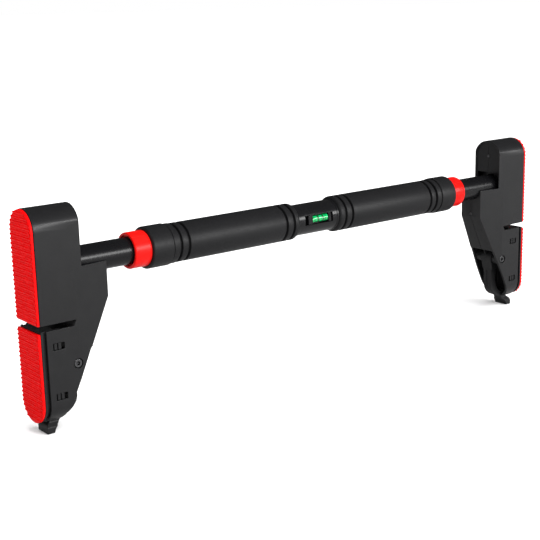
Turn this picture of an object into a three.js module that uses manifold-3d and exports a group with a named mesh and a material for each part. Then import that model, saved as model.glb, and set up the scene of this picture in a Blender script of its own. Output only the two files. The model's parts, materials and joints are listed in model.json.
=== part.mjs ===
// Telescopic doorway pull up bar, in millimetres, +Z up.
// X runs along the bar, -Y is the front, and the floor under the lever feet is Z = 0.
import * as THREE from 'three';
import { mergeVertices } from 'three/addons/utils/BufferGeometryUtils.js';
import Module from 'manifold-3d';

const wasm = await Module();
wasm.setup();

// ---------------------------------------------------------------- driving dimensions
const overallLength = 750;      // outer pad face to outer pad face, bar closed
const gap = 0.3;                // clearance kept between neighbouring pieces

// tubes and the bar
const innerTubeRadius = 14.65;
const innerTubeWall = 1.5;
const outerTubeWall = 1.2;
const foamThickness = 5.1;
const sleeveWall = 1.8;         // plastic sleeve between the grips
const gripInnerEnd = 31.4;      // from the middle of the bar
const gripLength = 202.8;
const gripCuffLength = 25.9;
const gripCuffRise = 1.3;
const collarOverhang = 20.5;    // collar length beyond the grip
const collarRise = 3.4;         // collar wall over the outer tube
const tubeOverlapEnd = 60;      // inner end of the inner tubes, from the middle
const travel = 90;              // how far each arm can be wound out

// brackets: u is measured inward from the outer pad face, heights from the bar axis
const wall = 3;
const sideRoom = 4.75;          // beside the tube, inside a housing
const padThickness = 4;
const padInset = 0.5;
const neckLength = 54.7;        // housing above the bar
const neckWall = 4;
const neckRecess = 2.2;
const bodyLength = 86.3;        // housing below the bar
const noseTaper = 6;            // each side narrows by this towards the end of the body
const taperStart = 46;
const footLength = 26;          // bottom of the slanted wall
const topRise = 61;
const ledgeDrop = 2;
const ledgeHeight = 37;
const slotOffset = 16;          // from the ledge corner down to the slot
const slotHeight = 6.2;
const slotLength = 44.3;
const slotSlant = 3.2;
const lowerHeight = 99.8;       // slot to the bottom of the housing
const carrierShow = 6;          // how far the pad carrier stands out of the housing
const pocketRoom = 3.25;        // opening over the tube, in the neck wall
const plateMargin = 6.25;       // how far the plates round the tube reach past it

// cam lever, carrier and their fasteners
const leverOpenAngle = 60;
const carrierTravel = 3;
const pivotInset = 44;
const pivotDrop = 40.3;         // below the slot
const camRadius = 16.4;
const hubRadius = 9;
const leverHalfWidth = 6.6;
const leverFaceOffset = 4.5;    // room side of the lever, beyond its pivot
const leverGrooveHalf = 2.2;
const leverGrooveDepth = 0.8;
const footHalfWidth = 10.3;
const tailSlotInset = 2.6;      // bottom wall kept between the carrier and the lever's slot
const hubHalfWidth = 8.5;
const footDrop = 12.3;          // lever feet below the housing
const pivotBoltRadius = 2.5;
const bushWall = 1.2;
const windowWidth = 12.8;
const windowHeight = 7.2;
const windowFromSkirtEnd = 10.4;
const windowDrops = [17.5, 70.4];
const openingTopDrop = 26.8;    // lever opening, below the slot
const screwRadius = 1.45;
const faceScrewHead = 1.9;
const openingSetBack = 1;       // side walls beside the lever, behind the slanted wall
const bladeLength = 8;          // thin rib that hangs into the lever opening at the seam
const bladeDepth = 3;
const boltRecess = 6;           // pivot bolt and nut seats, below the outside

// lead screws and level
const leadScrewRadius = 5;
const vialRadius = 4.3;
const vialHalfLength = 12;
const vialShift = 3;            // the vial sits off the middle of its window
const levelTilt = 4;            // degrees above the horizontal
const levelWindowHalf = 21.5;

// ---------------------------------------------------------------- derived dimensions
const halfDepth = innerTubeRadius + sideRoom + wall;
const cavityHalf = halfDepth - wall;
const padHalf = halfDepth - padInset;
const slantTop = -(ledgeDrop + ledgeHeight);
const slotTop = slantTop - slotOffset;
const slotBottom = slotTop - slotHeight;
const housingBottom = slotBottom - lowerHeight;
const footLevel = housingBottom - footDrop;
const pivotZ = slotBottom - pivotDrop;
const openingTop = slotBottom - openingTopDrop;
const slantSlope = (bodyLength - footLength) / (slantTop - housingBottom);
const carrierDepth = pivotInset - camRadius - 2 * gap;
const windowInset = carrierDepth - windowFromSkirtEnd;
const carrierTop = slotBottom - gap;
const lowerEdge = padThickness + carrierShow;
const outerTubeBore = innerTubeRadius + 0.35;
const outerTubeRadius = outerTubeBore + outerTubeWall;
const sleeveBore = outerTubeRadius + gap;
const sleeveRadius = sleeveBore + sleeveWall;
const gripRadius = sleeveBore + foamThickness;
const collarRadius = outerTubeRadius + collarRise;
const gripOuterEnd = gripInnerEnd + gripLength;
const collarStart = gripOuterEnd + gap;
const collarEnd = gripOuterEnd + collarOverhang;
const outerTubeHalf = collarEnd - 7;
const backPlateStart = padThickness + wall + gap;
const backPlateEnd = backPlateStart + wall;
const pocketRise = innerTubeRadius + pocketRoom;
const plateReach = innerTubeRadius + plateMargin;
const slantAt = (z) => footLength + (z - housingBottom) * slantSlope;
const sideAt = (u) => halfDepth
  - noseTaper * Math.max(0, u - taperStart) / (bodyLength - taperStart);

// ---------------------------------------------------------------- geometry helpers
function toSolid(geometry) {
  const bare = geometry.index ? geometry.toNonIndexed() : geometry.clone();
  bare.deleteAttribute('normal');
  bare.deleteAttribute('uv');
  const merged = mergeVertices(bare, 1e-4);
  const index = Array.from(merged.index.array);
  const kept = [];
  for (let i = 0; i < index.length; i += 3) {
    const [a, b, c] = [index[i], index[i + 1], index[i + 2]];
    if (a !== b && b !== c && a !== c) kept.push(a, b, c);
  }
  return new wasm.Manifold(new wasm.Mesh({
    numProp: 3,
    vertProperties: new Float32Array(merged.attributes.position.array),
    triVerts: new Uint32Array(kept),
  }));
}

// Corners are snapped to a fine grid, so that slivers left by a cut close up cleanly.
function toGeometry(solid) {
  const mesh = solid.getMesh();
  const snap = 1 / 256;
  const corners = new Map();
  const positions = [];
  const cornerOf = [];
  for (let i = 0; i < mesh.vertProperties.length; i += 3) {
    const at = [0, 1, 2].map((k) => Math.round(mesh.vertProperties[i + k] / snap) * snap);
    const key = at.join(' ');
    if (!corners.has(key)) {
      corners.set(key, positions.length / 3);
      positions.push(...at);
    }
    cornerOf.push(corners.get(key));
  }
  const faces = new Map();
  for (let i = 0; i < mesh.triVerts.length; i += 3) {
    const face = [0, 1, 2].map((k) => cornerOf[mesh.triVerts[i + k]]);
    if (new Set(face).size < 3) continue;
    const key = [...face].sort((a, b) => a - b).join(' ');
    if (faces.has(key)) faces.delete(key);
    else faces.set(key, face);
  }
  const geometry = new THREE.BufferGeometry();
  geometry.setAttribute('position', new THREE.Float32BufferAttribute(positions, 3));
  geometry.setIndex([...faces.values()].flat());
  geometry.computeVertexNormals();
  return geometry;
}

function mirrored(geometry) {
  const copy = geometry.clone();
  copy.scale(-1, 1, 1);
  const index = copy.index.array;
  for (let i = 0; i < index.length; i += 3) {
    [index[i + 1], index[i + 2]] = [index[i + 2], index[i + 1]];
  }
  copy.computeVertexNormals();
  return copy;
}

const basisAlongX = new THREE.Matrix4().makeBasis(
  new THREE.Vector3(0, 1, 0), new THREE.Vector3(0, 0, 1), new THREE.Vector3(1, 0, 0));
const latheAlongX = new THREE.Matrix4().makeBasis(
  new THREE.Vector3(0, 1, 0), new THREE.Vector3(1, 0, 0), new THREE.Vector3(0, 0, -1));

const join = (...solids) => solids.reduce((a, b) => a.add(b));
const cut = (body, ...tools) => tools.reduce((a, b) => a.subtract(b), body);

function shapeFrom(points) {
  return new THREE.Shape(points.map(([a, b]) => new THREE.Vector2(a, b)));
}

// a (u, z) outline made solid between two y values
function alongY(points, y0, y1) {
  const depth = y1 - y0;
  const geometry = new THREE.ExtrudeGeometry(shapeFrom(points), { depth, bevelEnabled: false });
  geometry.rotateX(Math.PI / 2);
  geometry.translate(0, y1, 0);
  return toSolid(geometry);
}

// a (y, z) shape made solid between two u values
function alongX(shape, x0, x1, curveSegments = 12) {
  const depth = x1 - x0;
  const geometry = new THREE.ExtrudeGeometry(shape, { depth, bevelEnabled: false, curveSegments });
  geometry.applyMatrix4(basisAlongX);
  geometry.translate(x0, 0, 0);
  return toSolid(geometry);
}

function box(x0, x1, y0, y1, z0, z1) {
  const geometry = new THREE.BoxGeometry(x1 - x0, y1 - y0, z1 - z0);
  geometry.translate((x0 + x1) / 2, (y0 + y1) / 2, (z0 + z1) / 2);
  return toSolid(geometry);
}

function rodX(radius, x0, x1, y = 0, z = 0, segments = 32) {
  const geometry = new THREE.CylinderGeometry(radius, radius, x1 - x0, segments);
  geometry.rotateZ(-Math.PI / 2);
  geometry.translate((x0 + x1) / 2, y, z);
  return toSolid(geometry);
}

function rodY(radius, y0, y1, x, z, segments = 20) {
  const geometry = new THREE.CylinderGeometry(radius, radius, y1 - y0, segments);
  geometry.translate(x, (y0 + y1) / 2, z);
  return toSolid(geometry);
}

function rodZ(radius, z0, z1, x, y = 0, segments = 16) {
  const geometry = new THREE.CylinderGeometry(radius, radius, z1 - z0, segments);
  geometry.rotateX(Math.PI / 2);
  geometry.translate(x, y, (z0 + z1) / 2);
  return toSolid(geometry);
}

// a closed (radius, x) profile turned round the bar axis
function turned(profile, segments = 32) {
  const points = profile.map(([radius, x]) => new THREE.Vector2(radius, x));
  points.push(points[0].clone());
  const geometry = new THREE.LatheGeometry(points, segments);
  geometry.applyMatrix4(latheAlongX);
  let solid = toSolid(geometry);
  if (solid.volume() < 0) {
    geometry.index.array.reverse();
    solid = toSolid(geometry);
  }
  return solid;
}

function pipe(bore, radius, x0, x1) {
  return turned([[bore, x0], [radius, x0], [radius, x1], [bore, x1]], 48);
}

// the outline of a housing seen along the bar: flat sides, round top and round bottom
function stadium(half, top, bottom) {
  const shape = new THREE.Shape();
  shape.moveTo(half, bottom + half);
  shape.lineTo(half, top - half);
  shape.absarc(0, top - half, half, 0, Math.PI, false);
  shape.lineTo(-half, bottom + half);
  shape.absarc(0, bottom + half, half, Math.PI, 2 * Math.PI, false);
  return shape;
}

// ---------------------------------------------------------------- materials
const finish = (color, roughness, metalness = 0) =>
  new THREE.MeshStandardMaterial({ color, roughness, metalness });
const housingBlack = finish(0x2a2a2b, 0.55);
const leverBlack = finish(0x202021, 0.5);
const padRed = finish(0xc81a1c, 0.75);
const collarRed = finish(0xe22420, 0.35);
const paintedSteel = finish(0x1b1b1c, 0.35, 0.4);
const plainSteel = finish(0x8a8d90, 0.4, 0.9);
const screwSteel = finish(0x2c2d2f, 0.35, 0.8);
const foam = finish(0x2f2f30, 0.9);
const glossBlack = finish(0x1c1c1d, 0.3);
const vialGreen = finish(0x19c24a, 0.1);
const nutPlastic = finish(0xd8d4c8, 0.6);

// ---------------------------------------------------------------- bracket housing
const rib1 = backPlateEnd + 8;
const rib2 = neckLength - neckWall - 9;
const ribThickness = 3;
const shellScrews = [
  { u: 29, z: topRise - halfDepth },
  { u: 66, z: slantTop + 5 },
  { u: 18, z: slotTop + wall + 7 },
];
const faceScrews = [
  { u: neckLength - neckRecess, z: topRise - halfDepth + 1.5 },
  { u: bodyLength, z: slantTop + 4 },
];
const faceScrewLength = 14;
const bossRadius = 4;
const shellScrewHead = 3;
const headSink = wall - 0.4;
const screwSide = (s) => sideAt(s.u + shellScrewHead);

function housingOutline() {
  return [
    [padThickness, topRise],
    [padThickness, slotTop],
    [slotLength, slotTop],
    [slotLength - slotSlant, slotBottom],
    [lowerEdge, slotBottom],
    [lowerEdge, housingBottom],
    [footLength, housingBottom],
    [bodyLength, slantTop],
    [bodyLength, -ledgeDrop],
    [neckLength, -ledgeDrop],
    [neckLength, topRise],
  ];
}

function cavityOutline() {
  const slantShift = wall * Math.sqrt(1 + slantSlope * slantSlope);
  const neckInside = neckLength - neckWall;
  const bottomInside = housingBottom + wall;
  const back = padThickness + wall;
  return [
    [back, topRise - wall],
    [back, slotTop + wall],
    [slotLength + wall, slotTop + wall],
    [slotLength + wall - slotSlant, slotBottom - wall],
    [slotLength - slotSlant, slotBottom - wall],
    [slotLength - slotSlant, slotBottom + gap],
    [lowerEdge - 2, slotBottom + gap],
    [lowerEdge - 2, bottomInside],
    [slantAt(bottomInside) - slantShift, bottomInside],
    [bodyLength - wall, slantTop + (slantShift - wall) / slantSlope],
    [bodyLength - wall, -ledgeDrop - wall],
    [neckInside, -ledgeDrop - wall],
    [neckInside, topRise - wall],
  ];
}

function leverOpening() {
  const reach = 30;
  const inset = 2 * wall;
  const bottomInside = housingBottom + wall;
  return [
    [slantAt(openingTop) - inset, openingTop],
    [slantAt(bottomInside) - inset, bottomInside],
    [slantAt(bottomInside) - inset, housingBottom - 1],
    [slantAt(openingTop) + reach, housingBottom - 1],
    [slantAt(openingTop) + reach, openingTop],
  ];
}

// everything between the two tapering sides, drawn in by an inset
function tapered(inset) {
  const half = halfDepth - inset;
  const end = bodyLength + 2;
  const narrow = sideAt(end) - inset;
  const outline = [
    [-2, -half],
    [taperStart, -half],
    [end, -narrow],
    [end, narrow],
    [taperStart, half],
    [-2, half],
  ];
  const depth = topRise - housingBottom + 4;
  const geometry = new THREE.ExtrudeGeometry(shapeFrom(outline), { depth, bevelEnabled: false });
  geometry.translate(0, 0, housingBottom - 2);
  return toSolid(geometry);
}

function housingSolid() {
  const tubeHole = innerTubeRadius + gap;
  const outside = alongX(stadium(halfDepth, topRise, housingBottom), 0, bodyLength + 1)
    .intersect(alongY(housingOutline(), -halfDepth - 1, halfDepth + 1))
    .intersect(tapered(0));
  const inside = alongX(stadium(cavityHalf, topRise - wall, housingBottom + wall), -1, bodyLength + 1);
  const cavity = inside.intersect(alongY(cavityOutline(), -cavityHalf - 1, cavityHalf + 1))
    .intersect(tapered(wall));

  // plates that carry the tube, and round bosses for the screws
  const plates = [rib1, rib2].map((u) => box(u, u + ribThickness,
    -halfDepth + 1, halfDepth - 1, -plateReach, plateReach));
  const pivotBosses = [-1, 1].map((side) => {
    const ends = [side * (hubHalfWidth + gap), side * (halfDepth - 1)].sort((a, b) => a - b);
    return rodY(pivotBoltRadius + 5, ends[0], ends[1], pivotInset, pivotZ);
  });
  const screwBosses = shellScrews.map((s) => rodY(bossRadius, -halfDepth + 1, halfDepth - 1, s.u, s.z));
  const faceBosses = faceScrews.map((s) =>
    rodX(bossRadius, s.u - faceScrewLength - 2, s.u - 1, 0, s.z, 16));
  const rooted = alongX(stadium(cavityHalf + 1, topRise - wall + 1, housingBottom + wall - 1),
    -1, bodyLength + 1);
  const supports = join(...plates, ...screwBosses, ...faceBosses).intersect(rooted)
    .intersect(tapered(wall - 1.2))
    .subtract(box(backPlateStart - 1, backPlateEnd + gap, -halfDepth, halfDepth, slotTop, topRise));

  const rimHalf = cavityHalf + 0.6;
  const recess = alongX(stadium(rimHalf, topRise - halfDepth + rimHalf, slotBottom),
    neckLength - neckRecess, neckLength + 1)
    .subtract(box(0, bodyLength, -halfDepth, halfDepth, housingBottom, -ledgeDrop));
  const pocket = box(neckLength - neckWall - 1, neckLength + 1, -cavityHalf + 1, cavityHalf - 1,
    -ledgeDrop - wall - 1, pocketRise).intersect(tapered(wall + gap));
  const trough = box(neckLength - neckWall - 1, bodyLength - wall, -cavityHalf, cavityHalf,
    -ledgeDrop - wall - 1, 0).intersect(tapered(wall + gap));
  const windows = windowDrops.flatMap((drop) => {
    const z = slotBottom - drop;
    return [-1, 1].map((side) => box(windowInset, windowInset + windowWidth,
      side > 0 ? cavityHalf - 1 : -halfDepth - 1, side > 0 ? halfDepth + 1 : -cavityHalf + 1,
      z - windowHeight / 2, z + windowHeight / 2));
  });
  const slotHalf = leverHalfWidth + 1.2;
  const tailSlot = box(lowerEdge + tailSlotInset, pivotInset, -slotHalf, slotHalf,
    housingBottom - 1, housingBottom + 2 * wall);
  const opening = alongY(leverOpening(), -cavityHalf, cavityHalf)
    .intersect(alongX(stadium(cavityHalf, topRise, housingBottom + wall), 0, 3 * bodyLength))
    .intersect(tapered(wall));
  const setBack = alongY([
    [slantAt(openingTop) - openingSetBack, openingTop],
    [slantAt(housingBottom - 1) - openingSetBack, housingBottom - 1],
    [slantAt(openingTop) + 30, housingBottom - 1],
    [slantAt(openingTop) + 30, openingTop],
  ], -halfDepth - 1, halfDepth + 1);
  const bladeTop = openingTop + 2;
  const bladeEnd = openingTop - bladeLength;
  const blade = alongY([
    [slantAt(bladeTop) - wall, bladeTop],
    [slantAt(bladeTop) - wall - 2 * bladeDepth, bladeTop],
    [slantAt(bladeEnd) - wall - bladeDepth, bladeEnd],
    [slantAt(bladeEnd) - wall, bladeEnd],
  ], -1.5, 0);

  const screwHoles = shellScrews.flatMap((s) => [
    rodY(screwRadius + gap, -screwSide(s) + wall + 1, halfDepth + 1, s.u, s.z, 12),
    rodY(shellScrewHead + gap, screwSide(s) - headSink, halfDepth + 1, s.u, s.z, 16),
  ]);
  const faceHoles = faceScrews.flatMap((s) => [
    rodX(screwRadius + gap, s.u - faceScrewLength - 1, s.u + 2, 0, s.z, 12),
    rodX(faceScrewHead + gap, s.u - 1, s.u + 2, 0, s.z, 16),
  ]);
  const pivotHoles = [
    rodY(pivotBoltRadius + gap, -halfDepth - 1, halfDepth + 1, pivotInset, pivotZ),
    rodY(pivotBoltRadius + 2.8, -halfDepth - 1, -halfDepth + boltRecess, pivotInset, pivotZ, 24),
    rodY(pivotBoltRadius + 2.8, halfDepth - boltRecess, halfDepth + 1, pivotInset, pivotZ, 24),
  ];
  const tubeBore = rodX(tubeHole, backPlateEnd, bodyLength + 2);

  const hollow = cut(outside, cavity, opening, setBack, tailSlot);
  const shell = join(hollow, supports, blade, ...pivotBosses);
  const holes = [...windows, ...screwHoles, ...faceHoles, ...pivotHoles];
  return cut(shell, recess, pocket, trough, tubeBore, ...holes);
}

// ---------------------------------------------------------------- pads and their carrier
function upperPad() {
  const outline = stadium(padHalf, topRise - padInset, housingBottom);
  return alongX(outline, 0, padThickness - gap)
    .intersect(box(-1, padThickness, -halfDepth, halfDepth, slotTop + padInset, topRise));
}

function lowerPad() {
  const outline = stadium(padHalf, topRise, housingBottom + padInset);
  return alongX(outline, 0, padThickness - gap)
    .intersect(box(-1, padThickness, -halfDepth, halfDepth, housingBottom, carrierTop - 1.5));
}

function padCarrier() {
  const flangeEnd = padThickness + 2.4;
  const skirtHalf = cavityHalf - 0.4;
  const skirtWall = 2.2;
  const skirtBottom = housingBottom + wall + 0.4;
  const below = alongX(stadium(padHalf, topRise, housingBottom + padInset), padThickness, flangeEnd);
  const skirt = alongX(stadium(skirtHalf, topRise, skirtBottom), padThickness, carrierDepth);
  const hollow = alongX(stadium(skirtHalf - skirtWall, topRise, skirtBottom + skirtWall),
    flangeEnd + 1, carrierDepth + 1);
  const topCut = box(-1, bodyLength, -halfDepth, halfDepth, carrierTop, topRise + 1);
  const roof = box(padThickness, carrierDepth - 6, -skirtHalf, skirtHalf,
    carrierTop - skirtWall, carrierTop);
  const web = box(carrierDepth - wall, carrierDepth, -skirtHalf + 1, skirtHalf - 1,
    pivotZ - camRadius * 0.7, pivotZ + camRadius * 0.7);
  const tail = alongY([
    [carrierDepth + 1, housingBottom + 27],
    [12, housingBottom + 5],
    [12, housingBottom - 1],
    [carrierDepth + 1, housingBottom - 1],
  ], -halfDepth, halfDepth);
  const tabs = windowDrops.flatMap((drop) => {
    const z = slotBottom - drop;
    const half = windowHeight / 2 - 0.4;
    return [-1, 1].flatMap((side) => {
      const y0 = side > 0 ? skirtHalf - 1 : -halfDepth + 0.8;
      const y1 = side > 0 ? halfDepth - 0.8 : -skirtHalf + 1;
      return [
        box(windowInset + 1.5, windowInset + 4.8, y0, y1, z - half, z + half),
        box(windowInset + 6, windowInset + 9.4, y0, y1, z - half, z + half),
      ];
    });
  });
  const body = cut(join(below, skirt), hollow, topCut, tail);
  return join(body, roof, web, ...tabs);
}

// ---------------------------------------------------------------- cam lever
function camOutline() {
  const points = [];
  const rise = carrierTravel;
  for (let angle = 30; angle <= 200; angle += 5) {
    let radius = hubRadius;
    if (angle > 60) {
      const fullTurn = 180;
      const start = fullTurn - leverOpenAngle;
      const smooth = Math.min(1, (angle - 60) / Math.max(start - 60, 1));
      const low = camRadius - rise;
      radius = angle < start ? hubRadius + (low - hubRadius) * smooth
        : camRadius - rise * Math.max(0, (fullTurn - angle) / leverOpenAngle);
    }
    const a = THREE.MathUtils.degToRad(angle);
    points.push([pivotInset + radius * Math.cos(a), pivotZ + radius * Math.sin(a)]);
  }
  return points;
}

function leverOutline() {
  const inner = pivotInset + leverFaceOffset;   // the flat face towards the room
  const outer = pivotInset - 4.5;
  const b = housingBottom;
  return [
    [pivotInset + hubRadius, pivotZ - 1],
    [pivotInset + 6.5, pivotZ - 10],
    [inner + 0.4, pivotZ - 19],
    [inner, pivotZ - 23],
    [inner, b + 20],
    [inner - 1.4, b + 14.6],
    [inner - 5.4, b + 9.2],
    [inner - 11, b + 5],
    [footLength + 1.5, b + 1],
    [footLength - 3.2, b - 4],
    [footLength - 6.5, b - 8.5],
    [footLength - 7.8, footLevel],
    [lowerEdge - 0.2, footLevel],
    [lowerEdge - 0.4, b - 6.5],
    [lowerEdge + 0.8, b - 3],
    [lowerEdge + 4, b - 0.5],
    [lowerEdge + 10, b + 3],
    [lowerEdge + 18, b + 8.5],
    [outer - 5, b + 14],
    [outer - 1, b + 21],
    [outer, b + 31],
    [outer - 1.5, b + 43],
    [outer - 8.5, b + 51],
    ...camOutline().reverse(),
  ];
}

// the lever seen along the bar: wide at the hub, narrow in the middle, flaring to a foot
function leverProfile() {
  const waist = pivotZ - hubRadius - 5;
  const half = [
    [hubHalfWidth, pivotZ + 2 * camRadius],
    [hubHalfWidth, waist],
    [leverHalfWidth, waist - 4],
    [leverHalfWidth, housingBottom - 1],
    [footHalfWidth, housingBottom - 5.5],
    [footHalfWidth, footLevel - 1],
  ];
  return [...half, ...half.map(([y, z]) => [-y, z]).reverse()].reverse();
}

function camLever() {
  const face = pivotInset + leverFaceOffset;
  const lever = alongY(leverOutline(), -halfDepth, halfDepth)
    .intersect(alongX(shapeFrom(leverProfile()), 0, bodyLength));
  const groove = box(face - leverGrooveDepth, face + 1, -leverGrooveHalf, leverGrooveHalf,
    housingBottom + 12, pivotZ - hubRadius - 10);
  const bore = rodY(pivotBoltRadius + gap + bushWall + gap, -halfDepth, halfDepth, pivotInset, pivotZ);
  return cut(lever, groove, bore);
}

// ---------------------------------------------------------------- bracket fasteners and tube
const boltHeadRadius = pivotBoltRadius * 1.75;

function pivotBolt() {
  const seat = -halfDepth + boltRecess - gap;
  const head = rodY(boltHeadRadius, seat - 4.6, seat, pivotInset, pivotZ, 20);
  const shank = rodY(pivotBoltRadius, seat - 1, halfDepth - 3, pivotInset, pivotZ, 20);
  const socket = rodY(pivotBoltRadius * 0.92, seat - 5.6, seat - 1.6, pivotInset, pivotZ, 6);
  return cut(join(head, shank), socket);
}

function pivotNut() {
  const seat = halfDepth - boltRecess + gap;
  return cut(rodY(pivotBoltRadius * 1.85, seat, seat + 3, pivotInset, pivotZ, 6),
    rodY(pivotBoltRadius + gap, seat - 1, seat + 4, pivotInset, pivotZ, 20));
}

function pivotBush() {
  const bore = pivotBoltRadius + gap;
  return cut(rodY(bore + bushWall, -hubHalfWidth, hubHalfWidth, pivotInset, pivotZ, 20),
    rodY(bore, -hubHalfWidth - 1, hubHalfWidth + 1, pivotInset, pivotZ, 20));
}

function shellScrew({ u, z }) {
  const side = screwSide({ u });
  const seat = side - headSink + gap;
  const head = rodY(shellScrewHead, seat, seat + 2, u, z, 12);
  const shank = rodY(screwRadius, -side + wall + 1.5, seat + 0.5, u, z, 12);
  const cross = join(
    box(u - 1.6, u + 1.6, seat + 1, seat + 3, z - 0.35, z + 0.35),
    box(u - 0.35, u + 0.35, seat + 1, seat + 3, z - 1.6, z + 1.6));
  return cut(join(head, shank), cross);
}

function faceScrew({ u, z }) {
  const seat = u - 1 + gap;
  const head = rodX(faceScrewHead, seat, seat + 0.8, 0, z, 14);
  const shank = rodX(screwRadius, u - faceScrewLength, seat + 0.4, 0, z, 12);
  const socket = rodX(1, seat - 0.4, seat + 2, 0, z, 6);
  return cut(join(head, shank), socket);
}

function backPlate() {
  const half = innerTubeRadius - 1;
  return box(backPlateStart, backPlateEnd, -half, half, slotTop + wall + 2, topRise - halfDepth - 2);
}

const tubeEnd = overallLength / 2 - tubeOverlapEnd;      // u of the inner end of an arm tube
const keySlotHalf = 1.7;
const lipCentre = overallLength / 2 - (collarEnd - 4.7); // u of the collar's inner lip

function innerTube() {
  const start = backPlateEnd + gap;
  const slot = box(lipCentre - 4, lipCentre + travel + 6, -keySlotHalf, keySlotHalf,
    -innerTubeRadius - 1, -innerTubeRadius + innerTubeWall + 1);
  return cut(pipe(innerTubeRadius - innerTubeWall, innerTubeRadius, start, tubeEnd), slot);
}

function driveNut() {
  const radius = innerTubeRadius - innerTubeWall - gap;
  return pipe(leadScrewRadius + gap, radius, tubeEnd - 24, tubeEnd);
}

// ---------------------------------------------------------------- bar pieces, centred on X = 0
// the rings cut round each grip: place from the middle of the bar, width and depth
const gripGrooves = [
  [gripInnerEnd + 9.1, 2.2, 1.3],
  [gripInnerEnd + 20, 2.2, 1.3],
  [gripOuterEnd - 46.1, 2.2, 1.3],
  [gripOuterEnd - 35.7, 2.2, 1.3],
];

function grip() {
  const r = gripRadius;
  const cuff = r + gripCuffRise;
  const bore = sleeveBore;
  const profile = [[bore, gripInnerEnd], [r - 3.4, gripInnerEnd], [r - 1.2, gripInnerEnd + 1.2],
    [r, gripInnerEnd + 4]];
  for (const [centre, width, depth] of gripGrooves) {
    profile.push([r, centre - width / 2], [r - depth, centre - width / 4],
      [r - depth, centre + width / 4], [r, centre + width / 2]);
  }
  profile.push([r, gripOuterEnd - gripCuffLength], [cuff, gripOuterEnd - gripCuffLength + 1],
    [cuff, gripOuterEnd - 1.6], [cuff - 1.6, gripOuterEnd], [bore, gripOuterEnd]);
  return turned(profile, 28);
}

function collar() {
  const lipBore = innerTubeRadius + gap;
  const cup = outerTubeRadius + gap;
  const lipStart = outerTubeHalf + gap;
  const lipStop = collarEnd - 3;
  const ring = turned([[cup, collarStart], [collarRadius, collarStart], [collarRadius, collarEnd - 1.2],
    [collarRadius - 1.2, collarEnd], [cup, collarEnd], [cup, lipStop], [lipBore, lipStop],
    [lipBore, lipStart], [cup, lipStart]]);
  const key = box(lipStart, lipStop, -keySlotHalf + gap, keySlotHalf - gap,
    -cup - 0.5, -innerTubeRadius + innerTubeWall);
  return join(ring, key);
}

const anchorHalf = 40;
const screwStart = levelWindowHalf + 3;
const pinPlace = (screwStart + anchorHalf) / 2;
const pinRadius = 1.6;

// a box turned to face the level window
function levelBox(x0, x1, halfHeight, r0, r1) {
  const geometry = new THREE.BoxGeometry(x1 - x0, r1 - r0, 2 * halfHeight);
  geometry.translate((x0 + x1) / 2, -(r0 + r1) / 2, 0);
  geometry.rotateX(-THREE.MathUtils.degToRad(levelTilt));
  return toSolid(geometry);
}

const windowMargin = 1.4;
const levelWindow = (depth) => levelBox(-levelWindowHalf, levelWindowHalf, vialRadius + windowMargin,
  depth, sleeveRadius + 3);

const pinHoles = () => [-1, 1].map((side) =>
  rodZ(pinRadius + gap, -outerTubeRadius - 1, outerTubeRadius + 1, side * pinPlace));

function centreTube() {
  const tube = pipe(outerTubeBore, outerTubeRadius, -outerTubeHalf, outerTubeHalf);
  return cut(tube, levelWindow(5), ...pinHoles());
}

function levelSleeve() {
  const half = gripInnerEnd - gap;
  const lip = sleeveRadius + 0.7;
  const ring = turned([[sleeveBore, -half], [lip, -half], [lip, -half + 2.4], [sleeveRadius, -half + 2.8],
    [sleeveRadius, half - 2.8], [lip, half - 2.4], [lip, half], [sleeveBore, half]]);
  return cut(ring, levelWindow(5));
}

const vialPlace = sleeveRadius - 1 - vialRadius;         // vial axis, from the bar axis
const capLengths = { left: 6.4, right: 4.2 };

function screwAnchor() {
  const plug = rodX(outerTubeBore - gap, -anchorHalf, anchorHalf);
  const seat = levelWindow(vialPlace - vialRadius - 1);
  const sockets = [-1, 1].map((side) => rodX(leadScrewRadius + gap,
    side > 0 ? screwStart - gap : -anchorHalf - 1, side > 0 ? anchorHalf + 1 : -screwStart + gap));
  return cut(plug, seat, ...sockets, ...pinHoles());
}

function levelVial() {
  const geometry = new THREE.CylinderGeometry(vialRadius, vialRadius, 2 * vialHalfLength, 28);
  geometry.rotateZ(-Math.PI / 2);
  geometry.translate(vialShift, -vialPlace, 0);
  geometry.rotateX(-THREE.MathUtils.degToRad(levelTilt));
  return toSolid(geometry);
}

function vialCap(side) {
  const near = vialHalfLength + gap;
  const ends = side === 'right' ? [vialShift + near, vialShift + near + capLengths.right]
    : [vialShift - near - capLengths.left, vialShift - near];
  return levelBox(ends[0], ends[1], vialRadius + 0.9, vialPlace - vialRadius - 0.6, vialPlace + vialRadius);
}

function leadScrew(side) {
  const length = tubeOverlapEnd + travel + 30;
  const rod = side > 0 ? rodX(leadScrewRadius, screwStart, length, 0, 0, 24)
    : rodX(leadScrewRadius, -length, -screwStart, 0, 0, 24);
  return cut(rod, ...pinHoles());
}

const screwPin = (side) => rodZ(pinRadius, -outerTubeRadius, outerTubeRadius, side * pinPlace);

// ---------------------------------------------------------------- assembly
const model = new THREE.Group();
const axis = new THREE.Group();
axis.position.z = -footLevel;
model.add(axis);

function addMesh(group, name, geometry, material) {
  const mesh = new THREE.Mesh(geometry, material);
  mesh.name = name;
  group.add(mesh);
}

const housing = housingSolid();
const frontHalf = box(-1, bodyLength + 1, -halfDepth - 2, -gap / 2, 2 * footLevel, 2 * topRise);
const rearHalf = box(-1, bodyLength + 1, gap / 2, halfDepth + 2, 2 * footLevel, 2 * topRise);

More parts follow.
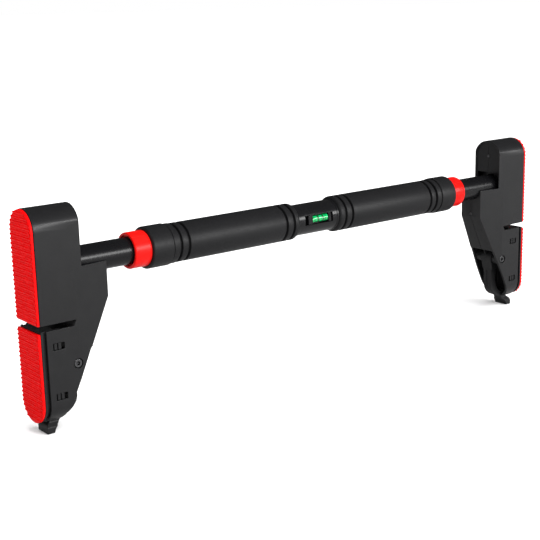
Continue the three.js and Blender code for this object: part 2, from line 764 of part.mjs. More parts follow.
const bracketPieces = [
  ['front_shell', housing.intersect(frontHalf), housingBlack],
  ['rear_shell', housing.intersect(rearHalf), housingBlack],
  ['upper_pad', upperPad(), padRed],
  ['lower_pad', lowerPad(), padRed],
  ['pad_carrier', padCarrier(), leverBlack],
  ['cam_lever', camLever(), leverBlack],
  ['pivot_bolt', pivotBolt(), screwSteel],
  ['pivot_nut', pivotNut(), plainSteel],
  ['pivot_bush', pivotBush(), plainSteel],
  ['back_plate', backPlate(), plainSteel],
  ['inner_tube', innerTube(), paintedSteel],
  ['drive_nut', driveNut(), nutPlastic],
  ['shell_screw_top', shellScrew(shellScrews[0]), screwSteel],
  ['shell_screw_ledge', shellScrew(shellScrews[1]), screwSteel],
  ['shell_screw_slot', shellScrew(shellScrews[2]), screwSteel],
  ['face_screw_neck', faceScrew(faceScrews[0]), screwSteel],
  ['face_screw_body', faceScrew(faceScrews[1]), screwSteel],
];

for (const side of ['left', 'right']) {
  const bracket = new THREE.Group();
  bracket.position.x = side === 'left' ? -overallLength / 2 : overallLength / 2;
  axis.add(bracket);
  for (const [name, solid, material] of bracketPieces) {
    const geometry = toGeometry(solid);
    addMesh(bracket, `${side}_${name}`, side === 'left' ? geometry : mirrored(geometry), material);
  }
  const gripGeometry = toGeometry(grip());
  const collarGeometry = toGeometry(collar());
  addMesh(axis, `${side}_grip`, side === 'right' ? gripGeometry : mirrored(gripGeometry), foam);
  addMesh(axis, `${side}_collar`, side === 'right' ? collarGeometry : mirrored(collarGeometry), collarRed);
  const sign = side === 'right' ? 1 : -1;
  addMesh(axis, `${side}_lead_screw`, toGeometry(leadScrew(sign)), plainSteel);
  addMesh(axis, `${side}_screw_pin`, toGeometry(screwPin(sign)), plainSteel);
  addMesh(axis, `${side}_vial_cap`, toGeometry(vialCap(side)), glossBlack);
}
addMesh(axis, 'centre_tube', toGeometry(centreTube()), paintedSteel);
addMesh(axis, 'level_sleeve', toGeometry(levelSleeve()), glossBlack);
addMesh(axis, 'screw_anchor', toGeometry(screwAnchor()), glossBlack);
addMesh(axis, 'level_vial', toGeometry(levelVial()), vialGreen);

export default model;
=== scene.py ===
"""Looks for the doorway pull up bar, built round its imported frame.

Metres, +X along the bar, -Y the front, +Z up. Places and outer sizes come from the frame's nodes; the small
details that the frame doesn't hold have named sizes here.
"""

import json
import math

import bmesh
import bpy
from mathutils import Matrix, Vector


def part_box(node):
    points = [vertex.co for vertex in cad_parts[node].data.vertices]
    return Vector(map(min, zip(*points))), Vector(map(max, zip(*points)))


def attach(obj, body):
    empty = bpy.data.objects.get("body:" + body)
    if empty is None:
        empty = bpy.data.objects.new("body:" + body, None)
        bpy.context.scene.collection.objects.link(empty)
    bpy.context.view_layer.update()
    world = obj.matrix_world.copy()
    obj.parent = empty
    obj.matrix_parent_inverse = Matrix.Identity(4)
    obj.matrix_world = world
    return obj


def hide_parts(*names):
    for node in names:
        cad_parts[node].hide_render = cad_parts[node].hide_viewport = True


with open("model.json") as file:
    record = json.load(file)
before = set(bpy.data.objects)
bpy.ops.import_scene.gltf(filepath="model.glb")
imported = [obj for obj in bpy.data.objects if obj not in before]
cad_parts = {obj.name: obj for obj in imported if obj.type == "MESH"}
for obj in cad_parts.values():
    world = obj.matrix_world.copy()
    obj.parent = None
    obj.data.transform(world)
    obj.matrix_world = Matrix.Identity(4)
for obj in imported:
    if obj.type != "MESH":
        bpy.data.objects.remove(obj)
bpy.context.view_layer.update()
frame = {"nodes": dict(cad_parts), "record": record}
MM = 0.001
SIDES = (("left", -1), ("right", 1))
BODY_OF = {node: body for body, nodes in frame["record"]["behaviour"]["bodies"].items() for node in nodes}
SLOT_OF = {part["node"]: part["material_slot"] for part in frame["record"]["subparts"]}


# ---------------------------------------------------------------- places taken from the frame
def low(node, axis):
    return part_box(node)[0][axis]


def high(node, axis):
    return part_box(node)[1][axis]


def radius_of(node):
    return (high(node, 1) - low(node, 1)) / 2


AXIS_Z = (low("centre_tube", 2) + high("centre_tube", 2)) / 2
BAR_AXIS = (0, AXIS_Z)
PAD_FACE = high("right_upper_pad", 0)
INNER_RADIUS = radius_of("right_inner_tube")
OUTER_RADIUS = radius_of("centre_tube")
CUFF_RADIUS = radius_of("right_grip")
COLLAR_RADIUS = radius_of("right_collar")
SLEEVE_LIP = radius_of("level_sleeve")


# ---------------------------------------------------------------- node materials
class Look:
    """A procedural material: a Principled shader with noise in its colour, roughness and bump."""

    # The part of a noise's range that colours and roughnesses are spread over.
    NOISE_LOW, NOISE_HIGH = 0.3, 0.7

    def __init__(self, name, colour, roughness, metallic=0.0, **values):
        self.material = bpy.data.materials.new(name)
        self.material.use_nodes = True
        self.nodes = self.material.node_tree.nodes
        self.link = self.material.node_tree.links.new
        self.shader = self.nodes["Principled BSDF"]
        self.shader.inputs["Base Color"].default_value = (*colour, 1)
        self.shader.inputs["Roughness"].default_value = roughness
        self.shader.inputs["Metallic"].default_value = metallic
        for key, value in values.items():
            self.shader.inputs[key.replace("_", " ")].default_value = value
        self.coords = self.nodes.new("ShaderNodeTexCoord").outputs["Object"]

    def add(self, kind, **values):
        """A new node with some of its inputs set."""
        node = self.nodes.new(kind)
        for key, value in values.items():
            node.inputs[key.replace("_", " ")].default_value = value
        return node

    def noise(self, scale, detail=3.0, roughness=0.55, stretch=None):
        source = self.coords
        if stretch:
            mapping = self.add("ShaderNodeMapping", Scale=stretch)
            self.link(source, mapping.inputs["Vector"])
            source = mapping.outputs["Vector"]
        node = self.add("ShaderNodeTexNoise", Scale=scale, Detail=detail, Roughness=roughness)
        self.link(source, node.inputs["Vector"])
        return node.outputs["Fac"]

    def colour(self, factor, dark, light, start=NOISE_LOW, stop=NOISE_HIGH):
        ramp = self.nodes.new("ShaderNodeValToRGB")
        for element, place_at, shade in zip(ramp.color_ramp.elements, (start, stop), (dark, light)):
            element.position = place_at
            element.color = (*shade, 1)
        self.link(factor, ramp.inputs["Fac"])
        self.link(ramp.outputs["Color"], self.shader.inputs["Base Color"])

    def rough(self, factor, least, most):
        node = self.add("ShaderNodeMapRange", From_Min=self.NOISE_LOW, From_Max=self.NOISE_HIGH,
                        To_Min=least, To_Max=most)
        self.link(factor, node.inputs["Value"])
        self.link(node.outputs["Result"], self.shader.inputs["Roughness"])

    def bump(self, factor, height, strength):
        node = self.add("ShaderNodeBump", Distance=height, Strength=strength)
        self.link(factor, node.inputs["Height"])
        self.link(node.outputs["Normal"], self.shader.inputs["Normal"])


def housing_look():
    look = Look("housing_plastic", (0.0075, 0.0075, 0.008), 0.36, Specular_IOR_Level=0.22)
    look.colour(look.noise(60), (0.0068, 0.0068, 0.0073), (0.0082, 0.0082, 0.0087))
    look.rough(look.noise(900, 2), 0.33, 0.40)
    look.bump(look.noise(2600, 2), 0.04 * MM, 0.35)
    return look.material


def lever_look():
    look = Look("lever_plastic", (0.008, 0.008, 0.0085), 0.38, Specular_IOR_Level=0.2)
    look.colour(look.noise(90), (0.0075, 0.0075, 0.008), (0.0095, 0.0095, 0.010))
    look.rough(look.noise(800, 2), 0.32, 0.44)
    look.bump(look.noise(2200, 2), 0.04 * MM, 0.3)
    return look.material


def pad_look():
    look = Look("pad_rubber", (0.66, 0.0015, 0.002), 0.5, Specular_IOR_Level=0.08)
    look.colour(look.noise(220, 4), (0.61, 0.001, 0.0015), (0.71, 0.002, 0.0025))
    look.rough(look.noise(500, 2), 0.42, 0.58)
    look.bump(look.noise(3000, 2), 0.05 * MM, 0.4)
    return look.material


def collar_look():
    look = Look("collar_plastic", (0.58, 0.005, 0.0035), 0.3, Specular_IOR_Level=0.12)
    look.colour(look.noise(70), (0.55, 0.0045, 0.003), (0.61, 0.0055, 0.004))
    look.rough(look.noise(60, 2), 0.27, 0.33)
    look.bump(look.noise(900, 2), 0.03 * MM, 0.1)
    return look.material


def tube_look():
    look = Look("tube_paint", (0.004, 0.004, 0.0045), 0.26, Specular_IOR_Level=0.2)
    look.colour(look.noise(50), (0.0035, 0.0035, 0.004), (0.0045, 0.0045, 0.005))
    look.rough(look.noise(40, 1), 0.25, 0.28)
    return look.material


def foam_look():
    look = Look("grip_foam", (0.0085, 0.0085, 0.009), 0.48, Specular_IOR_Level=0.14)
    look.colour(look.noise(700, 3), (0.0058, 0.0058, 0.0063), (0.0090, 0.0090, 0.0095))
    look.rough(look.noise(400, 2), 0.42, 0.54)
    look.bump(look.noise(1500, 4, 0.7), 0.08 * MM, 0.3)
    return look.material


def gloss_look():
    look = Look("gloss_plastic", (0.005, 0.005, 0.0055), 0.24, Specular_IOR_Level=0.2)
    look.colour(look.noise(50), (0.0045, 0.0045, 0.005), (0.0058, 0.0058, 0.0063))
    look.rough(look.noise(60, 1), 0.22, 0.27)
    return look.material


def steel_look(name, colour, least, most):
    look = Look(name, colour, least, metallic=1.0)
    shade = tuple(0.8 * c for c in colour)
    look.colour(look.noise(240, 3, stretch=(1, 1, 6)), shade, colour)
    look.rough(look.noise(900, 3, stretch=(1, 1, 8)), least, most)
    look.bump(look.noise(1600, 2, stretch=(1, 1, 8)), 0.02 * MM, 0.25)
    return look.material


def liquid_look():
    look = Look("vial_liquid", (0.0, 0.34, 0.08), 0.12, Coat_Weight=0.35, Coat_Roughness=0.06)
    look.colour(look.noise(420, 3), (0.0, 0.14, 0.03), (0.005, 0.42, 0.11), 0.4, 0.6)
    return look.material


def bubble_look():
    look = Look("vial_bubble", (0.01, 0.40, 0.13), 0.1, Coat_Weight=0.35, Coat_Roughness=0.06)
    look.colour(look.noise(500), (0.005, 0.33, 0.10), (0.02, 0.50, 0.17))
    return look.material


def mark_look():
    look = Look("vial_mark", (0.003, 0.004, 0.003), 0.4)
    look.bump(look.noise(1500, 2), 0.02 * MM, 0.2)
    return look.material


def acetal_look():
    look = Look("nut_acetal", (0.62, 0.59, 0.52), 0.45, Subsurface_Weight=0.05)
    look.colour(look.noise(120), (0.58, 0.55, 0.48), (0.66, 0.63, 0.56))
    look.bump(look.noise(900, 2), 0.03 * MM, 0.2)
    return look.material


LOOKS = {
    "housing_black": housing_look(),
    "lever_black": lever_look(),
    "pad_rubber": pad_look(),
    "collar_red": collar_look(),
    "painted_steel": tube_look(),
    "plain_steel": steel_look("zinc_steel", (0.42, 0.43, 0.44), 0.28, 0.42),
    "dark_screw": steel_look("dark_steel", (0.10, 0.10, 0.103), 0.24, 0.34),
    "grip_foam": foam_look(),
    "gloss_black": gloss_look(),
    "anchor_black": gloss_look(),
    "vial_green": liquid_look(),
    "nut_plastic": acetal_look(),
}


# ---------------------------------------------------------------- objects and meshes
def new_object(name, data):
    obj = bpy.data.objects.new(name, data)
    bpy.context.scene.collection.objects.link(obj)
    return obj


def finished_mesh(work, name):
    mesh = bpy.data.meshes.new(name)
    work.to_mesh(mesh)
    work.free()
    return mesh


def dress(obj, material):
    obj.data.materials.clear()
    obj.data.materials.append(material)


def show_for(node, obj):
    """Shows a piece in place of a CAD node, on its body and in its finish."""
    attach(obj, BODY_OF[node])
    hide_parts(node)
    dress(obj, LOOKS[SLOT_OF[node]])


def show_in_vial(name, mesh, material):
    """A further piece inside the vial, that stands for no CAD node."""
    obj = new_object(name, mesh)
    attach(obj, "bar")
    dress(obj, material)


def smooth(mesh, sharp_from):
    """Smooth shading, apart from edges that turn by more than so many degrees."""
    mesh.polygons.foreach_set("use_smooth", [True] * len(mesh.polygons))
    mesh.set_sharp_from_angle(angle=math.radians(sharp_from))


SAME_POINT = 0.02 * MM       # CAD vertices nearer than this are one
FLAT_ANGLE = 0.6             # degrees; CAD faces that turn by less are one
BEVEL_FROM = 32              # degrees; edges that turn by more are rounded


def rounded(node, radius, segments=2):
    """The CAD node's own shape with its flat faces merged and its edges rounded, shown in its place."""
    name = "round_" + node
    mesh = frame["nodes"][node].data.copy()
    mesh.name = name
    work = bmesh.new()
    work.from_mesh(mesh)
    bmesh.ops.remove_doubles(work, verts=work.verts, dist=SAME_POINT)
    bmesh.ops.dissolve_limit(work, angle_limit=math.radians(FLAT_ANGLE), verts=work.verts, edges=work.edges)
    edges = [e for e in work.edges if e.is_manifold and e.calc_face_angle(0) > math.radians(BEVEL_FROM)]
    bmesh.ops.bevel(work, geom=edges, offset=radius, offset_type="OFFSET", segments=segments,
                    profile=0.5, affect="EDGES", clamp_overlap=False, miter_outer="ARC")
    work.to_mesh(mesh)
    work.free()
    smooth(mesh, 40)
    obj = new_object(name, mesh)
    modifier = obj.modifiers.new("weighted normals", "WEIGHTED_NORMAL")
    modifier.keep_sharp = True
    modifier.weight = 70
    show_for(node, obj)


def lathe(name, profile, steps=128, axis=BAR_AXIS):
    """A closed mesh turned round a line along X through (y, z): profile is a loop of (x, radius) pairs."""
    work = bmesh.new()
    turns = [2 * math.pi * step / steps for step in range(steps)]
    y, z = axis
    rings = [[work.verts.new((x, y + radius * math.cos(a), z + radius * math.sin(a))) for a in turns]
             for x, radius in profile]
    for first, second in zip(rings, rings[1:] + rings[:1]):
        for step in range(steps):
            after = (step + 1) % steps
            work.faces.new((first[step], second[step], second[after], first[after]))
    bmesh.ops.recalc_face_normals(work, faces=work.faces)
    mesh = finished_mesh(work, name)
    smooth(mesh, 50)
    return mesh


def arc(x, radius, r, start, stop, steps=5):
    """Points of a fillet of radius r about (x, radius), from start to stop in degrees; 0 points along +X."""
    angles = [math.radians(start + (stop - start) * step / steps) for step in range(steps + 1)]
    return [(x + r * math.cos(a), radius + r * math.sin(a)) for a in angles]


def mirrored(profile):
    return [(-x, radius) for x, radius in profile]


# ---------------------------------------------------------------- grips
FIT = 0.3 * MM                      # room between a bore and the tube in it
CUFF_RISE = 1.3 * MM                # the thick outer end of a grip
CUFF_LENGTH = 25.9 * MM
CUFF_EDGE = 0.7 * MM
CUFF_END_ROUND = 1.8 * MM
CUFF_END_FACE = 3.2 * MM
STEP_RISE = 0.4 * MM                # the stretch between the last groove and the cuff
CUFF_GAP = 1.0 * MM                 # the notch in front of the cuff
CUFF_GAP_SLANT = 0.1 * MM
CUFF_GAP_DEPTH = 1.6 * MM
INNER_END_ROUND = 3.6 * MM
INNER_END_FACE = 3.4 * MM
GROOVE_HALF = 1.8 * MM
GROOVE_DEPTH = 2.7 * MM
GROOVE_EDGE = 0.5 * MM
GROOVE_SLANT = 0.3 * MM
INNER_GROOVES = (9.1 * MM, 20 * MM)         # from the inner end
OUTER_GROOVES = (46.1 * MM, 35.7 * MM)      # from the outer end


def groove(centre, before, after, floor):
    """A groove with rounded edges, between a surface of radius before and one of radius after."""
    points = arc(centre - GROOVE_HALF - GROOVE_EDGE, before - GROOVE_EDGE, GROOVE_EDGE, 90, 0, 4)
    points += [(centre - GROOVE_HALF + GROOVE_SLANT, floor), (centre + GROOVE_HALF - GROOVE_SLANT, floor)]
    return points + arc(centre + GROOVE_HALF + GROOVE_EDGE, after - GROOVE_EDGE, GROOVE_EDGE, 180, 90, 4)


def grip_profile():
    """Right-hand grip, from its inner end to its outer end; the bore closes it."""
    start, end = low("right_grip", 0), high("right_grip", 0)
    body = CUFF_RADIUS - CUFF_RISE
    step = body + STEP_RISE
    floor = body - GROOVE_DEPTH
    bore = OUTER_RADIUS + FIT
    points = [(start, bore), (start, body - INNER_END_FACE)]
    points += arc(start + INNER_END_ROUND, body - INNER_END_ROUND, INNER_END_ROUND, 178, 90, 8)
    for offset in INNER_GROOVES:
        points += groove(start + offset, body, body, floor)
    points += groove(end - OUTER_GROOVES[0], body, body, floor)
    points += groove(end - OUTER_GROOVES[1], body, step, floor)
    cuff = end - CUFF_LENGTH
    notch = step - CUFF_GAP_DEPTH
    points += [(cuff - CUFF_GAP, step), (cuff - CUFF_GAP + CUFF_GAP_SLANT, notch), (cuff, notch)]
    points += arc(cuff + CUFF_EDGE, CUFF_RADIUS - CUFF_EDGE, CUFF_EDGE, 180, 90, 4)
    points += arc(end - CUFF_END_ROUND, CUFF_RADIUS - CUFF_END_ROUND, CUFF_END_ROUND, 90, 20, 6)
    return points + [(end, CUFF_RADIUS - CUFF_END_FACE), (end, bore)]


# ---------------------------------------------------------------- collars
COLLAR_EDGE = 0.6 * MM              # at the grip
COLLAR_ROUND = 1.3 * MM             # at the free end
COLLAR_MOUTH = 0.5 * MM
LIP_SETBACK = 3 * MM                # the inner lip that runs on the inner tube
LIP_LENGTH = 3.7 * MM
LIP_CHAMFER = 0.5 * MM


def collar_profile():
    """Right-hand collar: a cup over the outer tube, with a lip near its free end."""
    start, end = low("right_collar", 0), high("right_collar", 0)
    bore = INNER_RADIUS + FIT
    cup = OUTER_RADIUS + FIT
    points = [(start, cup), (start, COLLAR_RADIUS - COLLAR_EDGE)]
    points += arc(start + COLLAR_EDGE, COLLAR_RADIUS - COLLAR_EDGE, COLLAR_EDGE, 180, 90, 4)
    points += arc(end - COLLAR_ROUND, COLLAR_RADIUS - COLLAR_ROUND, COLLAR_ROUND, 90, 0, 6)
    points += arc(end - COLLAR_MOUTH, cup + COLLAR_MOUTH, COLLAR_MOUTH, 0, -90, 3)
    lip = end - LIP_SETBACK
    points += [(lip, cup), (lip, bore + LIP_CHAMFER), (lip - LIP_CHAMFER, bore)]
    return points + [(lip - LIP_LENGTH, bore), (lip - LIP_LENGTH, cup)]


# ---------------------------------------------------------------- sleeve and its window
RIM_ROUND = 0.5 * MM                # the raised rim at each end of the sleeve
RIM_WIDTH = 2.0 * MM
RIM_FOOT = 2.8 * MM
RIM_RISE = 0.7 * MM
WINDOW_HALF = 21.5 * MM
WINDOW_RISE = 5.7 * MM
WINDOW_TILT = math.radians(4)
WINDOW_FLOOR = 5 * MM               # how near the bar's axis the window's cut goes
CUTTER_DEPTH = 30 * MM


def sleeve_profile():
    end = high("level_sleeve", 0)
    half = [(end, OUTER_RADIUS + FIT)]
    half += arc(end - RIM_ROUND, SLEEVE_LIP - RIM_ROUND, RIM_ROUND, 0, 90, 4)
    half += arc(end - RIM_WIDTH, SLEEVE_LIP - RIM_ROUND, RIM_ROUND, 90, 160, 4)
    half += [(end - RIM_FOOT, SLEEVE_LIP - RIM_RISE)]
    return half + mirrored(half[::-1])


def cut_window(obj):
    """Cuts the level's window through a turned piece."""
    work = bmesh.new()
    bmesh.ops.create_cube(work, size=1)
    cutter = new_object("window_cutter", finished_mesh(work, "window_cutter"))
    turn = Matrix.Translation((0, 0, AXIS_Z)) @ Matrix.Rotation(-WINDOW_TILT, 4, "X")
    size = Matrix.Diagonal((2 * WINDOW_HALF, CUTTER_DEPTH, 2 * WINDOW_RISE, 1))
    cutter.matrix_world = turn @ Matrix.Translation((0, -WINDOW_FLOOR - CUTTER_DEPTH / 2, 0)) @ size
    modifier = obj.modifiers.new("window", "BOOLEAN")
    modifier.object = cutter
    modifier.operation = "DIFFERENCE"
    modifier.solver = "EXACT"
    bpy.context.view_layer.update()
    cut = bpy.data.meshes.new_from_object(obj.evaluated_get(bpy.context.evaluated_depsgraph_get()))
    obj.modifiers.clear()
    obj.data = cut
    bpy.data.objects.remove(cutter)
    smooth(cut, 35)


TUBE_EDGE = 0.2 * MM
CAP_EDGE = 0.35 * MM


def make_bar():
    turned = (("foam_grip_", "_grip", grip_profile()), ("red_collar_", "_collar", collar_profile()))
    for side, sign in SIDES:
        for name, part, profile in turned:
            sided = profile if sign > 0 else mirrored(profile)
            show_for(side + part, new_object(name + side, lathe(name + side, sided)))
        rounded(side + "_inner_tube", TUBE_EDGE, segments=1)
        rounded(side + "_vial_cap", CAP_EDGE)
    sleeve = new_object("turned_sleeve", lathe("turned_sleeve", sleeve_profile()))
    cut_window(sleeve)
    show_for("level_sleeve", sleeve)


# ---------------------------------------------------------------- level vial
VIAL_STEPS = 64
VIAL_ROUND = 0.9 * MM
VIAL_CORE = 0.4 * MM                # radius of the hole that the turned outline leaves
MARK_RISE = 0.12 * MM               # the marks stand proud of the liquid by this
MARK_SINK = 0.3 * MM
MARK_HALF = 0.75 * MM
MARK_PLACES = (("near", -3.9 * MM), ("far", 3.9 * MM))
BUBBLE_FORWARD = 1.2 * MM
BUBBLE_UP = 1.55 * MM
BUBBLE_HALVES = (2.9 * MM, 2.4 * MM, 2.35 * MM)


def make_vial():
    """The vial's liquid, bubble and two black marks, round the vial's own axis."""
    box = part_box("level_vial")
    x, y, z = [(a + b) / 2 for a, b in zip(*box)]
    radius = (box[1][2] - box[0][2]) / 2
    half = (box[1][0] - box[0][0]) / 2
    body = radius - MARK_RISE
    outline = [(-half, VIAL_CORE), (-half, body - VIAL_ROUND)]
    outline += arc(-half + VIAL_ROUND, body - VIAL_ROUND, VIAL_ROUND, 180, 90, 5)
    outline += mirrored(outline[::-1])
    moved = [(x + along, r) for along, r in outline]
    show_for("level_vial", new_object("green_vial", lathe("green_vial", moved, VIAL_STEPS, (y, z))))
    for place_name, offset in MARK_PLACES:
        name = "vial_mark_" + place_name
        start, end = x + offset - MARK_HALF, x + offset + MARK_HALF
        band = [(start, body - MARK_SINK), (start, radius), (end, radius), (end, body - MARK_SINK)]
        show_in_vial(name, lathe(name, band, VIAL_STEPS, (y, z)), mark_look())
    work = bmesh.new()
    bmesh.ops.create_uvsphere(work, u_segments=32, v_segments=16, radius=1)
    bubble = finished_mesh(work, "vial_bubble")
    centre = Matrix.Translation((x, y - BUBBLE_FORWARD, z + BUBBLE_UP))
    bubble.transform(centre @ Matrix.Diagonal((*BUBBLE_HALVES, 1)))
    smooth(bubble, 30)
    show_in_vial("vial_bubble", bubble, bubble_look())


# ---------------------------------------------------------------- pads
RIB_PITCH = 4.7 * MM         # from one long rib to the next; a short rib lies midway
RIB_START = 0.6 * MM
RIB_HEIGHT = 0.75 * MM
RIB_SINK = 0.03 * MM         # how deep a rib's back lies in the pad's face
# How far a rib stops short of the pad's edge, how high it rises, and half its width.
LONG_RIB = (0.02 * MM, 0.77 * MM, 1.25 * MM)
SHORT_RIB = (2.4 * MM, 0.42 * MM, 0.85 * MM)
ARCH_MARGIN = 1.2 * MM       # no rib lies nearer than this to the top of its arch
SHORTEST_RIB = 3 * MM
RIB_STEP = 0.8 * MM          # the mesh along a rib
RIB_ROWS = 8                 # and across it
RIB_FADE = 0.5 * MM          # length over which a rib's end comes up
RIB_END_RISE = 0.35
RIB_FULLNESS = 0.75
KNURL_PITCH = 3.1 * MM
KNURL_SHARE = 0.14
PAD_ROUND = 0.9 * MM
PAD_ROUND_STEPS = 5
PAD_BACK_EDGE = 0.4 * MM
ARCH_STEPS = 28


def pad_outline(half, straight, arch, up, inset):
    """(y, z) points round a pad: a flat end at `straight` and a half circle about `arch`; up is 1 or -1."""
    radius = half - inset
    turns = [math.pi * step / ARCH_STEPS for step in range(ARCH_STEPS + 1)]
    curve = [(radius * math.cos(a), arch + up * radius * math.sin(a)) for a in turns]
    return [(radius, straight + up * inset), *curve, (-radius, straight + up * inset)]


def add_pad_body(work, sign, back, face, outline):
    """The pad without its ribs: outline(inset) gives its (y, z) points; the edge of its face is rounded."""
    rings = [(PAD_BACK_EDGE, back), (0, back + PAD_BACK_EDGE), (0, face - PAD_ROUND)]
    for step in range(1, PAD_ROUND_STEPS + 1):
        a = math.pi / 2 * step / PAD_ROUND_STEPS
        rings.append((PAD_ROUND * (1 - math.cos(a)), face - PAD_ROUND * (1 - math.sin(a))))
    loops = [[work.verts.new((sign * x, y, z)) for y, z in outline(inset)] for inset, x in rings]
    for first, second in zip(loops, loops[1:]):
        for i in range(len(first)):
            j = (i + 1) % len(first)
            work.faces.new((first[i], first[j], second[j], second[i]))
    work.faces.new(loops[0])
    work.faces.new(loops[-1])


def add_rib(work, sign, base, z, half, height, spread):
    """A rounded bar across the pad, knurled along its crest, closed at its back."""
    along = max(RIB_ROWS, int(2 * half / RIB_STEP))
    rows = []
    for i in range(along + 1):
        y = -half + 2 * half * i / along
        end = min(1.0, RIB_END_RISE + (half - abs(y)) / RIB_FADE)
        fall = math.sqrt(max(0.0, 1 - (1 - end) ** 2))
        knurl = 1 - KNURL_SHARE + KNURL_SHARE * math.cos(2 * math.pi * y / KNURL_PITCH)
        row = []
        for j in range(RIB_ROWS + 1):
            t = -1 + 2 * j / RIB_ROWS
            rise = height * fall * knurl * max(0.0, 1 - t * t) ** RIB_FULLNESS
            row.append(work.verts.new((sign * (base + rise), y, z + spread * t)))
        rows.append(row)
    for first, second in zip(rows, rows[1:]):
        for j in range(RIB_ROWS):
            work.faces.new((first[j], first[j + 1], second[j + 1], second[j]))
    work.faces.new([r[0] for r in rows] + [r[-1] for r in reversed(rows)])


def rib_room(half, beyond, margin):
    """Half the length of a rib that lies so far beyond the arch's centre, or 0 where none fits."""
    room = half - margin
    if beyond > 0:
        if beyond >= room - ARCH_MARGIN:
            return 0
        room = math.sqrt(room * room - beyond * beyond)
    return room if room >= SHORTEST_RIB else 0


def make_pad(node, sign, up):
    """A ribbed pad, with its arch at the top if up is 1 and at the bottom if it is -1."""
    (x_low, y_low, z_low), (x_high, y_high, z_high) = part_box(node)
    half = (y_high - y_low) / 2
    straight, arch = (z_low, z_high - half) if up > 0 else (z_high, z_low + half)
    face = PAD_FACE - RIB_HEIGHT
    work = bmesh.new()
    add_pad_body(work, sign, min(abs(x_low), abs(x_high)), face,
                 lambda inset: pad_outline(half, straight, arch, up, inset))
    for k in range(1, int((z_high - z_low) / RIB_PITCH * 2) + 1):
        margin, rise, spread = LONG_RIB if k % 2 == 1 else SHORT_RIB
        z = straight + up * (k * RIB_PITCH / 2 + RIB_START)
        room = rib_room(half, up * (z - arch), margin)
        if room:
            add_rib(work, sign, face - RIB_SINK, z, room, rise, spread)
    bmesh.ops.recalc_face_normals(work, faces=work.faces)
    mesh = finished_mesh(work, "ribbed_" + node)
    smooth(mesh, 50)
    show_for(node, new_object("ribbed_" + node, mesh))


def make_pads():
    for side, sign in SIDES:
        make_pad(side + "_upper_pad", sign, 1)
        make_pad(side + "_lower_pad", sign, -1)


# ---------------------------------------------------------------- brackets
BRACKET_EDGES = (
    ("front_shell", 0.45 * MM),
    ("rear_shell", 0.45 * MM),
    ("pad_carrier", 0.3 * MM),
    ("cam_lever", 0.6 * MM),
    ("pivot_bolt", 0.3 * MM),
    ("face_screw_neck", 0.15 * MM),
    ("face_screw_body", 0.15 * MM),
)


def make_brackets():
    for side, _ in SIDES:
        for part, edge in BRACKET_EDGES:
            rounded(f"{side}_{part}", edge)


# ---------------------------------------------------------------- camera
CAMERA_PLACE = Vector((-0.8539, -0.9870, AXIS_Z + 0.2539))
YAW, PITCH, ROLL = 0.6763, -0.2383, -0.0230     # radians; yaw from +Y towards +X, pitch upwards
SENSOR, LENS = 36, 74.4                         # mm


def make_camera():
    forward = Vector((math.sin(YAW) * math.cos(PITCH), math.cos(YAW) * math.cos(PITCH), math.sin(PITCH)))
    level = Vector((math.cos(YAW), -math.sin(YAW), 0))
    upright = level.cross(forward)
    right = math.cos(ROLL) * level + math.sin(ROLL) * upright
    up = -math.sin(ROLL) * level + math.cos(ROLL) * upright
    data = bpy.data.cameras.new("camera")
    data.sensor_width = SENSOR
    data.lens = LENS
    data.clip_start = 0.01
    data.clip_end = 50
    camera = new_object("camera", data)
    matrix = Matrix((right, up, -forward)).transposed().to_4x4()
    matrix.translation = CAMERA_PLACE
    camera.matrix_world = matrix
    bpy.context.scene.camera = camera


# ---------------------------------------------------------------- floor, surroundings and lights
FLOOR_HALF = 40
FLOOR_GREY = 0.42            # the floor as the object's own light meets it
SURROUND_FILL = 0.06         # the white surroundings as the object's own light meets them
SUN_POWER = 3.9
SUN_ANGLE = math.radians(60)
SUN_FROM = Vector((0.28, -0.30, 1.0))
BAR_MIDDLE = (0, 0, AXIS_Z)
AREA_LIGHTS = (
    # name, place, aim, width, height, watts, seen in reflections
    ("front strip", (0.75, -2.0, AXIS_Z + 0.56), (0.1, 0, AXIS_Z), 2.6, 0.55, 84, True),
    ("back fill", (0.4, 2.4, 1.3), BAR_MIDDLE, 1.5, 1.0, 40, False),
    ("edge strip", (-1.3, -1.3, 0.55), BAR_MIDDLE, 0.25, 1.2, 7, True),
    ("left fill", (-1.7, -0.45, 0.75), (-0.375, 0, AXIS_Z - 0.02), 1.0, 1.0, 15, False),
)


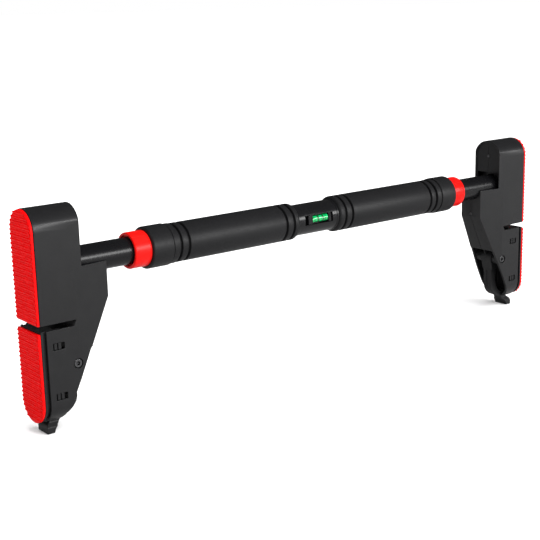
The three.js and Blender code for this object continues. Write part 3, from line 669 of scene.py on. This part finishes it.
def mix_for_camera(nodes, link, other, seen, output):
    """Joins two shaders: the camera sees one, and all other rays meet the other."""
    path = nodes.new("ShaderNodeLightPath")
    mix = nodes.new("ShaderNodeMixShader")
    link(path.outputs["Is Camera Ray"], mix.inputs["Fac"])
    link(other, mix.inputs[1])
    link(seen, mix.inputs[2])
    link(mix.outputs["Shader"], nodes[output].inputs["Surface"])


def make_floor():
    work = bmesh.new()
    bmesh.ops.create_grid(work, x_segments=1, y_segments=1, size=FLOOR_HALF)
    floor = new_object("floor", finished_mesh(work, "floor"))
    look = Look("floor_paint", (0.9, 0.9, 0.9), 0.9, Specular_IOR_Level=0.0)
    look.colour(look.noise(2), (0.895, 0.895, 0.895), (0.905, 0.905, 0.905))
    grey = look.add("ShaderNodeBsdfDiffuse", Color=(FLOOR_GREY, FLOOR_GREY, FLOOR_GREY, 1))
    mix_for_camera(look.nodes, look.link, grey.outputs["BSDF"], look.shader.outputs["BSDF"],
                   "Material Output")
    dress(floor, look.material)


def make_surroundings():
    world = bpy.data.worlds.new("studio")
    bpy.context.scene.world = world
    world.use_nodes = True
    nodes = world.node_tree.nodes
    seen, fill = nodes["Background"], nodes.new("ShaderNodeBackground")
    for background, strength in ((seen, 1.0), (fill, SURROUND_FILL)):
        background.inputs["Color"].default_value = (1, 1, 1, 1)
        background.inputs["Strength"].default_value = strength
    mix_for_camera(nodes, world.node_tree.links.new, fill.outputs["Background"], seen.outputs["Background"],
                   "World Output")


def make_lights():
    sun = bpy.data.lights.new("sky", "SUN")
    sun.energy = SUN_POWER
    sun.angle = SUN_ANGLE
    lamp = new_object("sky", sun)
    lamp.rotation_euler = SUN_FROM.to_track_quat("Z", "Y").to_euler()
    lamp.visible_glossy = False
    for name, place_at, aim, width, height, watts, glossy in AREA_LIGHTS:
        data = bpy.data.lights.new(name, "AREA")
        data.shape = "RECTANGLE"
        data.size = width
        data.size_y = height
        data.energy = watts
        lamp = new_object(name, data)
        lamp.location = place_at
        lamp.rotation_euler = (Vector(aim) - Vector(place_at)).to_track_quat("-Z", "Y").to_euler()
        lamp.visible_glossy = glossy


make_bar()
make_vial()
make_pads()
make_brackets()
for node, obj in frame["nodes"].items():
    dress(obj, LOOKS[SLOT_OF[node]])
make_camera()
make_floor()
make_surroundings()
make_lights()
bpy.context.scene.view_settings.view_transform = "Standard"
